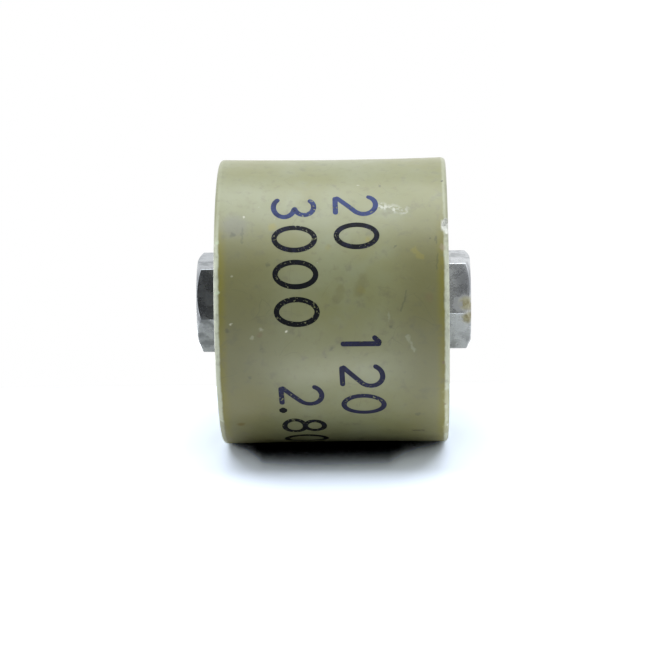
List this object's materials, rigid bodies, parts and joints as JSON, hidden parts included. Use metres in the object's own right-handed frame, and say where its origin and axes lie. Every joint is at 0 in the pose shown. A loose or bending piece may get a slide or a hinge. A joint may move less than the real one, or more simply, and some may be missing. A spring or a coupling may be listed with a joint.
{
  "type": "moulded high-voltage ceramic capacitor",
  "caption": "Drum-shaped moulded ceramic capacitor: resin case round a ceramic disc, with a tapped hexagonal terminal in each end.",
  "frame": {"origin": "centre of the lower terminal's end face, on which the part stands", "axes": "+Z along the axis of the case, from the lower terminal to the upper one; +X square to one flat of the lower hexagon"},
  "size_m": [0.0206, 0.0206, 0.0196],
  "materials": {
    "case_resin": "satin",
    "ceramic": "matte",
    "fired_silver": "satin",
    "solder": "satin",
    "plated_brass": "satin"
  },
  "bodies": {
    "root": {"moulded_case": "case_resin", "ceramic_disc": "ceramic", "electrode_bottom": "fired_silver", "electrode_top": "fired_silver", "solder_bottom": "solder", "solder_top": "solder", "terminal_bottom": "plated_brass", "terminal_top": "plated_brass"}
  },
  "joints": []
}
